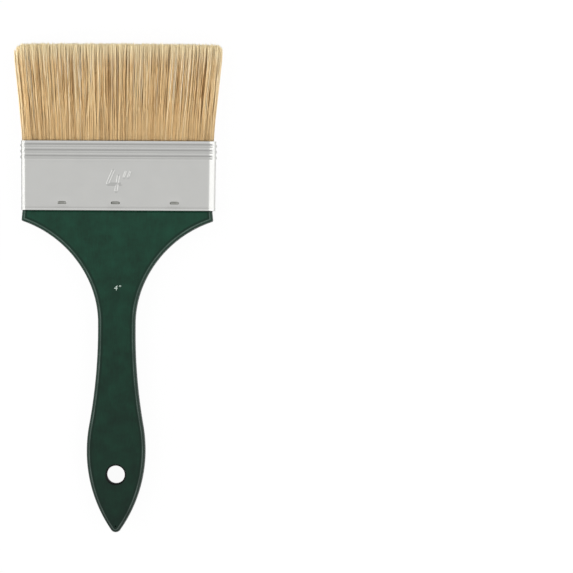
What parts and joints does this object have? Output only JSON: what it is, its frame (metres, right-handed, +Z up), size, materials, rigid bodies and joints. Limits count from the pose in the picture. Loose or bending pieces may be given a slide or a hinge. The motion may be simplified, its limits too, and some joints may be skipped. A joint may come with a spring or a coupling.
{
  "type": "flat paint brush",
  "caption": "Wide flat paint brush: natural bristle set in a beaded steel ferrule, stapled to a flat, shaped and painted wooden handle with a hole to hang it by.",
  "frame": {"origin": "on the surface that the brush lies on, under the middle of its overall length and width", "axes": "+Y along the brush to the bristle tips, +X across its width, +Z up out of its front face"},
  "size_m": [0.1094, 0.2565, 0.0116],
  "materials": {
    "painted_handle": "satin green paint on beech",
    "plated_steel": "satin plated",
    "staple_wire": "drawn wire",
    "bristle": "natural hog bristle",
    "bare_wood": "bare wood",
    "resin": "cured resin"
  },
  "bodies": {
    "root": {"handle": "painted_handle", "ferrule": "plated_steel", "staples_front": "staple_wire", "staples_back": "staple_wire", "bristle_layer_front": "bristle", "bristle_layer_back": "bristle", "filler_strip": "bare_wood", "resin_set": "resin"}
  },
  "joints": []
}
